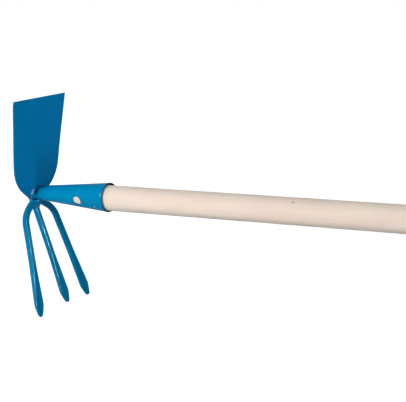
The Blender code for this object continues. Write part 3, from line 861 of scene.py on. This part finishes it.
def forged_loop(body, centre, across, section):
    """Ring of a tine: round on the rod, with flat faces and round edges on its leaf."""
    wide, thin, flatness = section
    power = 2.0 / (2.0 + LEAF_SQUARENESS * flatness)
    loop = []
    for i in range(FORGED_SIDES):
        angle = 2 * math.pi * i / FORGED_SIDES
        c = math.cos(angle)
        s = math.sin(angle)
        spot = centre + across * wide * math.copysign(abs(c) ** power, c)
        spot += X_AXIS * thin * math.copysign(abs(s) ** power, s)
        dent = LEAF_DENT * flatness * noise.noise(spot * LEAF_DENTS_PER_METRE)
        dent += ROD_DENT * noise.noise(spot * ROD_DENTS_PER_METRE)
        loop.append(body.verts.new(spot + (spot - centre).normalized() * min(0.0, dent)))
    return loop


def forged_piece(name, node, rings, lean, x):
    """Skin over rings, each with its centre, the way across it and its section."""
    body = bmesh.new()
    tube_faces(body, [forged_loop(body, *ring) for ring in rings])
    mesh = smooth_mesh(body, name, FORGED_SHARP_ANGLE)
    return new_piece(mesh, [rod_paint], node, turn=turned_about_y(-lean, x))


def crown_path():
    """Middle line of the bow's right half with its slope, down to the straight tine."""
    path = [(Vector((0.0, 0.0, -crown_drop)), 0.0),
            (Vector((0.0, CROWN_HALF_WIDTH, -crown_drop)), 0.0)]
    y = CROWN_HALF_WIDTH
    z = -crown_drop
    turned = 0.0
    bends = ((CROWN_BEND_RADIUS, CROWN_BEND_ANGLE, CROWN_ARM_LENGTH),
             (TINE_BEND_RADIUS, math.pi / 2 - TINE_SPLAY, 0.0))
    for radius, angle, arm in bends:
        for i in range(1, BEND_RINGS + 1):
            step = turned + (angle - turned) * i / BEND_RINGS
            path.append((Vector((0.0, y + radius * (math.sin(step) - math.sin(turned)),
                                 z - radius * (math.cos(turned) - math.cos(step)))), step))
        y += radius * (math.sin(angle) - math.sin(turned)) + arm * math.cos(angle)
        z -= radius * (math.cos(turned) - math.cos(angle)) + arm * math.sin(angle)
        turned = angle
        if arm:
            path.append((Vector((0.0, y, z)), turned))
    return path


def bow_half(side):
    """Rings from the middle of the bow to the tip of one outer tine."""
    rings = []
    for centre, turned in crown_path():
        across = Vector((0.0, side * math.sin(turned), math.cos(turned)))
        rings.append((Vector((0.0, side * centre.y, centre.z)), across, rod_section))
    bend_end = rings[-1][0]
    down = Vector((0.0, side * math.cos(turned), -math.sin(turned)))
    tip = bend_end + down * TINE_LENGTH
    for from_tip in reversed(leaf_stations()):
        rings.append((tip - down * from_tip, across, leaf_section(from_tip)))
    return rings


def make_outer_tines():
    rings = list(reversed(bow_half(-1.0))) + bow_half(1.0)[1:]
    return forged_piece("forged_outer_tines", "outer_tines", rings, FORK_LEAN, fork_x)


def foot_bead_place():
    """Middle of the foot's bead, against both the crown and the plate's back, as x and z."""
    foot = foot_height()
    corner_x = blade_x + foot * math.sin(BLADE_LEAN) - BLADE_THICKNESS / 2 * math.cos(BLADE_LEAN)
    corner_z = foot * math.cos(BLADE_LEAN) + BLADE_THICKNESS / 2 * math.sin(BLADE_LEAN)
    from_crown = rod_radius + BEAD_RADIUS + CLEARANCE
    from_corner = BEAD_RADIUS + CLEARANCE
    crown = Vector((crown_x, -crown_depth))
    between = Vector((corner_x, corner_z)) - crown
    along = (from_crown ** 2 - from_corner ** 2 + between.length ** 2) / (2 * between.length)
    aside = math.sqrt(max(0.0, from_crown ** 2 - along ** 2))
    heading = between.normalized()
    return crown + heading * along + Vector((-heading.y, heading.x)) * aside


def make_middle_tine():
    tip = -Z_AXIS * MIDDLE_TIP_DEPTH
    stations = leaf_stations()
    rings = [(tip + Z_AXIS * from_tip, Y_AXIS, leaf_section(from_tip)) for from_tip in stations]
    down = Vector((math.sin(MIDDLE_LEAN), -math.cos(MIDDLE_LEAN)))
    below_bead = BEAD_RADIUS + CLEARANCE
    top = (foot_bead_place() - Vector((middle_x, 0.0))).dot(down) + below_bead
    shaft_bottom = MIDDLE_TIP_DEPTH - stations[-1]
    for i in range(1, SHAFT_RINGS + 1):
        depth = shaft_bottom + (top - shaft_bottom) * i / SHAFT_RINGS
        rings.append((-Z_AXIS * depth, Y_AXIS, rod_section))
    return forged_piece("forged_middle_tine", "middle_tine", rings, MIDDLE_LEAN, middle_x)


# Welds

BEAD_PITCH = 0.0010
LEAST_RIPPLES = 3

# Sizes of a ripple as shares of its bead's radius
RIPPLE_WANDER = 0.14
RIPPLE_WIDTHS = (0.92, 1.12)
RIPPLE_LENGTHS = (0.55, 0.80)
END_RIPPLE_SIZE = 0.65


def weld_mesh(name, runs, rng):
    """Overlapping ripples along runs of weld, each a path with its radius and pitch."""
    body = bmesh.new()
    for path, radius, pitch in runs:
        length = sum((b - a).length for a, b in zip(path, path[1:]))
        count = max(LEAST_RIPPLES, round(length / pitch))
        for i in range(count + 1):
            share = i / count * (len(path) - 1)
            k = min(int(share), len(path) - 2)
            place = path[k].lerp(path[k + 1], share - k)
            heading = (path[k + 1] - path[k]).normalized()
            wander = Vector([rng.uniform(-1.0, 1.0) for _ in range(3)]) * radius * RIPPLE_WANDER
            end_size = END_RIPPLE_SIZE if i in (0, count) else 1.0
            across = radius * end_size * rng.uniform(*RIPPLE_WIDTHS)
            along = radius * rng.uniform(*RIPPLE_LENGTHS)
            add_ball(body, place + wander, heading, "XZ", (along, across, across))
    return to_mesh(body, name)


# Runs of weld round the socket's end: the corner bead, its flow on to the socket, and its flow
# on to the blade. Each is ahead of the blade's face and outside the sheet, from a start angle,
# with its radius and pitch.
SOCKET_RUNS = ((0.0008, 0.0008, SOCKET_BEAD_START, BEAD_RADIUS, BEAD_PITCH),
               (0.0024, 0.0001, 0.75, 0.0010, 0.0012),
               (0.0003, 0.0021, 0.55, 0.0010, 0.0013))
SOCKET_RUN_STEPS = 24


def socket_run_path(side, ahead, outside, start):
    seat_x = blade_face_x(0.0, 0.0) + ahead
    ring_radius = socket_radius(seat_x) + outside
    end_angle = -math.asin(min(1.0, (crown_depth - rod_radius - BEAD_RADIUS) / ring_radius))
    path = []
    for i in range(SOCKET_RUN_STEPS + 1):
        angle = start + (end_angle - start) * i / SOCKET_RUN_STEPS
        y = side * ring_radius * math.cos(angle)
        z = ring_radius * math.sin(angle)
        path.append(Vector((blade_face_x(abs(y), z) + ahead, y, z)))
    return path


def socket_runs(side):
    return [(socket_run_path(side, ahead, outside, start), radius, pitch)
            for ahead, outside, start, radius, pitch in SOCKET_RUNS]


STRAIGHT_STEPS = 8


def straight_path(x, z, width):
    return [Vector((x, width * (i / STRAIGHT_STEPS - 0.5), z)) for i in range(STRAIGHT_STEPS + 1)]


# The crown's bead stands off the socket by a share of its radius, and flows on along it
CROWN_BEAD_STAND_OFF = 0.8
CROWN_BEAD_BACK = 0.0003
CROWN_BEAD_UP = 0.0002
CROWN_FLOW_OFFSET = Vector((0.0014, 0.0, 0.0006))
CROWN_FLOW_RADIUS = 0.0009
CROWN_FLOW_PITCH = 0.0013


def crown_runs():
    apart = rod_radius + BEAD_RADIUS
    z = -(socket_radius(crown_x + apart) + BEAD_RADIUS * CROWN_BEAD_STAND_OFF)
    x = crown_x + math.sqrt(max(0.0, apart * apart - (z + crown_depth) ** 2))
    path = straight_path(x - CROWN_BEAD_BACK, z + CROWN_BEAD_UP, CROWN_BEAD_WIDTH)
    flow = [place + CROWN_FLOW_OFFSET for place in path[1:-1]]
    return [(path, BEAD_RADIUS, BEAD_PITCH), (flow, CROWN_FLOW_RADIUS, CROWN_FLOW_PITCH)]


FOOT_BEAD_FORWARD = 0.0002

# Run of weld down each side of the neck, with its turns out from the foot's side and up from
# the foot's end
NECK_RUN_BEHIND = 0.0008
NECK_RUN_RADIUS = 0.0018
NECK_RUN_PITCH = 0.0006
NECK_RUN_TURNS = ((-0.0002, 0.0028), (-0.0007, 0.0), (0.0002, -0.0016))


def foot_runs():
    """The bead behind the foot, and its ends that fill the neck beside the crown."""
    place = foot_bead_place()
    bead = straight_path(place.x + FOOT_BEAD_FORWARD, place.y, FOOT_BEAD_WIDTH)
    runs = [(bead, BEAD_RADIUS, BEAD_PITCH)]
    foot_z = foot_height() * math.cos(BLADE_LEAN)
    behind_x = blade_x - NECK_RUN_BEHIND
    for side in (-1.0, 1.0):
        path = [Vector((x, side * (FOOT_WIDTH / 2 + out), foot_z + up))
                for x, (out, up) in zip((behind_x, behind_x, crown_x), NECK_RUN_TURNS)]
        runs.append((path, NECK_RUN_RADIUS, NECK_RUN_PITCH))
    return runs


# The middle tine's bead: its stand-off and size as shares of a plain bead's radius, how far it
# is moved up into its corner, and the share of its turn that it runs
TINE_BEAD_STAND_OFF = 0.35
TINE_BEAD_SIZE = 0.85
TINE_BEAD_UP = 0.0004
TINE_BEAD_SHARE = 0.72
TINE_BEAD_STEPS = 16


def tine_runs():
    """The bead round the front of the middle tine, under the crown."""
    stand_off = rod_radius + BEAD_RADIUS * TINE_BEAD_STAND_OFF
    down = Vector((math.sin(MIDDLE_LEAN), 0.0, -math.cos(MIDDLE_LEAN)))
    front = Vector((math.cos(MIDDLE_LEAN), 0.0, math.sin(MIDDLE_LEAN)))
    origin = Vector((middle_x, 0.0, 0.0))
    crown = Vector((crown_x, 0.0, -crown_depth))
    ahead = (crown - origin).dot(front)
    reach = rod_radius + BEAD_RADIUS + CLEARANCE
    below = math.sqrt(reach ** 2 - min(reach, abs(reach - ahead)) ** 2)
    centre = origin + down * ((crown - origin).dot(down) + below - TINE_BEAD_UP)
    path = []
    for i in range(TINE_BEAD_STEPS + 1):
        angle = TINE_BEAD_TURN * (i / TINE_BEAD_STEPS * TINE_BEAD_SHARE - 0.5)
        path.append(centre + (front * math.cos(angle) + Y_AXIS * math.sin(angle)) * stand_off)
    return [(path, BEAD_RADIUS * TINE_BEAD_SIZE, BEAD_PITCH)]


WELD_SEED = 11
MELT_VOXEL = 0.00024
FLOW_FACTOR = 0.5


def make_welds():
    """Welds as ripples that are melted into one skin and smoothed by a number of passes."""
    rng = random.Random(WELD_SEED)
    plan = (("weld_left_of_socket", "socket_weld_left", socket_runs(-1.0), 3),
            ("weld_right_of_socket", "socket_weld_right", socket_runs(1.0), 3),
            ("weld_under_socket", "crown_weld", crown_runs(), 4),
            ("weld_at_blade_foot", "foot_weld", foot_runs(), 24),
            ("weld_round_middle_tine", "tine_weld", tine_runs(), 4))
    for name, node, runs, passes in plan:
        weld = new_piece(weld_mesh(name, runs, rng), [weld_paint], node)
        modify(weld, "melt", "REMESH", mode="VOXEL", voxel_size=MELT_VOXEL,
               use_smooth_shade=True)
        modify(weld, "flow", "SMOOTH", factor=FLOW_FACTOR, iterations=passes)


SPATTER_SEED = 5
SPATTER_COUNT = 40
SPATTER_SIZES = (0.00022, 0.00060)
SPATTER_STRETCH = (0.9, 1.3)
SPATTER_FLATNESS = 0.7

# Rays that cross near the joint's middle place the spatter, which stays within its reach of it
JOINT_AHEAD_OF_BLADE = 0.003
JOINT_DEPTH_SHARE = 0.5
RAY_SCATTER = 0.0035
RAY_START = 0.06
RAY_LENGTH = 0.08
SPATTER_REACH = 0.017


def surface_tree(pieces):
    """Finished surfaces of pieces, in the tool's axes, to cast rays at."""
    bpy.context.view_layer.update()
    depsgraph = bpy.context.evaluated_depsgraph_get()
    points = []
    faces = []
    for piece in pieces:
        finished = piece.evaluated_get(depsgraph)
        mesh = finished.to_mesh()
        offset = len(points)
        points += [tool_frame @ vertex.co for vertex in mesh.vertices]
        faces += [[offset + k for k in face.vertices] for face in mesh.polygons]
        finished.to_mesh_clear()
    return BVHTree.FromPolygons(points, faces)


def make_spatter(pieces):
    """Drops of weld metal that stuck to the steel round the joint."""
    tree = surface_tree(pieces)
    rng = random.Random(SPATTER_SEED)
    body = bmesh.new()
    joint = Vector((blade_x + JOINT_AHEAD_OF_BLADE, 0.0, -crown_depth * JOINT_DEPTH_SHARE))
    made = 0
    while made < SPATTER_COUNT:
        away = Vector([rng.gauss(0.0, 1.0) for _ in range(3)]).normalized()
        aim = joint + Vector([rng.gauss(0.0, RAY_SCATTER) for _ in range(3)])
        hit, normal, _, _ = tree.ray_cast(aim + away * RAY_START, -away, RAY_LENGTH)
        if hit is None or (hit - joint).length > SPATTER_REACH:
            continue
        if normal.dot(away) < 0:
            normal = -normal
        size = rng.uniform(*SPATTER_SIZES)
        shape = (size * rng.uniform(*SPATTER_STRETCH), size, size * SPATTER_FLATNESS)
        add_ball(body, hit, normal, "ZX", shape, subdivisions=2)
        made += 1
    new_piece(smooth_mesh(body, "weld_spatter", FORGED_SHARP_ANGLE), [weld_paint])


# Place along the socket, angle round it, and half length along and round of each drop
PAINT_DROPS = ((-0.0015, math.radians(159.0), 0.0007, 0.0020),
               (-0.0105, math.radians(213.0), 0.0009, 0.0009))
DROP_HEIGHT = 0.00035


def make_paint_drops():
    """Runs of paint that dried on the socket near its mouth, coloured pale as a painted highlight.
    """
    body = bmesh.new()
    for x, angle, along, around in PAINT_DROPS:
        out = Vector((0.0, math.cos(angle), math.sin(angle)))
        place = out * socket_radius(x) + Vector((x, 0.0, 0.0))
        add_ball(body, place, out, "ZX", (around, along, DROP_HEIGHT))
    new_piece(smooth_mesh(body, "paint_drops", FORGED_SHARP_ANGLE), [drop_highlight_paint])


make_handle()
steel = [make_socket(), make_blade(), make_outer_tines(), make_middle_tine()]
make_welds()
make_spatter(steel)
make_paint_drops()


# Camera, in the tool's axes, from the outlines of the pieces in the photograph

CAMERA_RIGHT = Vector((0.87196, 0.48734, -0.04681))
CAMERA_UP = Vector((-0.06137, 0.20366, 0.97712))
CAMERA_BACK = Vector((0.48572, -0.84913, 0.20749))
CAMERA_PLACE = Vector((0.5435, -0.7744, 0.1922))
CAMERA_LENS = 90.84
CAMERA_SENSOR_WIDTH = 36.0
CAMERA_CLIP_START = 0.01


def make_camera():
    data = bpy.data.cameras.new("camera")
    data.lens = CAMERA_LENS
    data.sensor_width = CAMERA_SENSOR_WIDTH
    data.clip_start = CAMERA_CLIP_START
    camera = add_object("camera", data)
    turn = Matrix((CAMERA_RIGHT, CAMERA_UP, CAMERA_BACK)).transposed().to_4x4()
    camera.matrix_world = rest_frame @ Matrix.Translation(CAMERA_PLACE) @ turn
    bpy.context.scene.camera = camera


# Studio

WHITE = (1.0, 1.0, 1.0, 1.0)
FILL_COLOUR = (0.96, 0.98, 1.0, 1.0)
FILL_STRENGTH = 0.12
FLOOR_GREY = (0.45, 0.45, 0.45, 1.0)
FLOOR_RADIUS = 6.0
FLOOR_SIDES = 96

# Near the tool the lamps add to the floor's glow, which rises where their light falls off
GLOW_DISTANCES = (0.8, 2.5)
GLOW_LEVELS = (0.80, 1.0)


def make_world():
    """Seen and reflected as white, while it lights the tool as a weak even fill."""
    world = bpy.data.worlds.new("studio")
    bpy.context.scene.world = world
    world.use_nodes = True
    world.node_tree.nodes.clear()
    s = Nodes(world.node_tree)
    seen = s.node("ShaderNodeBackground", {"Color": WHITE, "Strength": 1.0})
    fill = s.node("ShaderNodeBackground", {"Color": FILL_COLOUR, "Strength": FILL_STRENGTH})
    both = {"Fac": s.white_rays(), 1: fill.outputs[0], 2: seen.outputs[0]}
    mix = s.node("ShaderNodeMixShader", both)
    s.node("ShaderNodeOutputWorld", {"Surface": mix.outputs[0]})


def make_floor():
    """Pale floor that the camera sees as white, darker where the tool shades it."""
    body = bmesh.new()
    bmesh.ops.create_circle(body, cap_ends=True, segments=FLOOR_SIDES, radius=FLOOR_RADIUS)
    floor = add_object("floor", to_mesh(body, "floor"))
    look = bpy.data.materials.new("white_floor")
    look.use_nodes = True
    look.node_tree.nodes.clear()
    s = Nodes(look.node_tree)
    diffuse = s.node("ShaderNodeBsdfDiffuse", {"Color": FLOOR_GREY})
    place = s.node("ShaderNodeTexCoord").outputs["Object"]
    distance = s.node("ShaderNodeVectorMath", {0: place}, operation="LENGTH").outputs["Value"]
    spread = s.ramp(distance, GLOW_DISTANCES, GLOW_LEVELS, "LINEAR")
    level = s.math("MULTIPLY", s.white_rays(), spread)
    glow = s.node("ShaderNodeEmission", {"Color": WHITE, "Strength": level})
    add = s.node("ShaderNodeAddShader", {0: diffuse.outputs[0], 1: glow.outputs[0]})
    s.node("ShaderNodeOutputMaterial", {"Surface": add.outputs[0]})
    floor.data.materials.append(look)


# Places that the lamps are aimed at, in the tool's axes
HEAD_CENTRE = Vector((-0.09, 0.0, 0.0))
VIEW_CENTRE = Vector((0.30, 0.0, 0.0))


def studio_direction(azimuth, elevation):
    """Direction to a lamp: degrees round from the side at -Y towards +X, and up."""
    azimuth = math.radians(azimuth)
    elevation = math.radians(elevation)
    return Vector((math.sin(azimuth) * math.cos(elevation),
                   -math.cos(azimuth) * math.cos(elevation), math.sin(elevation))).normalized()


def area_light(name, azimuth, elevation, distance, aim, size, power, only_glossy=False):
    """Lamp that lights surfaces without a reflection, or only makes a reflection."""
    data = bpy.data.lights.new(name, "AREA")
    data.shape = "RECTANGLE"
    data.size, data.size_y = size
    data.energy = power
    light = add_object(name, data)
    direction = studio_direction(azimuth, elevation)
    place = rest_frame @ aim + direction * distance
    turn = (-direction).to_track_quat("-Z", "Y").to_matrix().to_4x4()
    light.matrix_world = Matrix.Translation(place) @ turn
    light.visible_camera = False
    light.visible_diffuse = not only_glossy
    light.visible_glossy = only_glossy


make_camera()
make_world()
make_floor()
area_light("key", azimuth=-24.0, elevation=18.4, distance=1.5, aim=HEAD_CENTRE,
           size=(1.0, 0.87), power=20.0)
area_light("side", azimuth=63.0, elevation=14.0, distance=3.5, aim=HEAD_CENTRE,
           size=(2.1, 2.1), power=44.0)
area_light("back", azimuth=188.0, elevation=10.0, distance=2.4, aim=VIEW_CENTRE,
           size=(1.6, 1.4), power=56.0)
area_light("streak", azimuth=63.0, elevation=15.0, distance=1.6, aim=HEAD_CENTRE,
           size=(0.06, 1.0), power=800.0, only_glossy=True)

scene = bpy.context.scene
scene.view_settings.view_transform = "Standard"
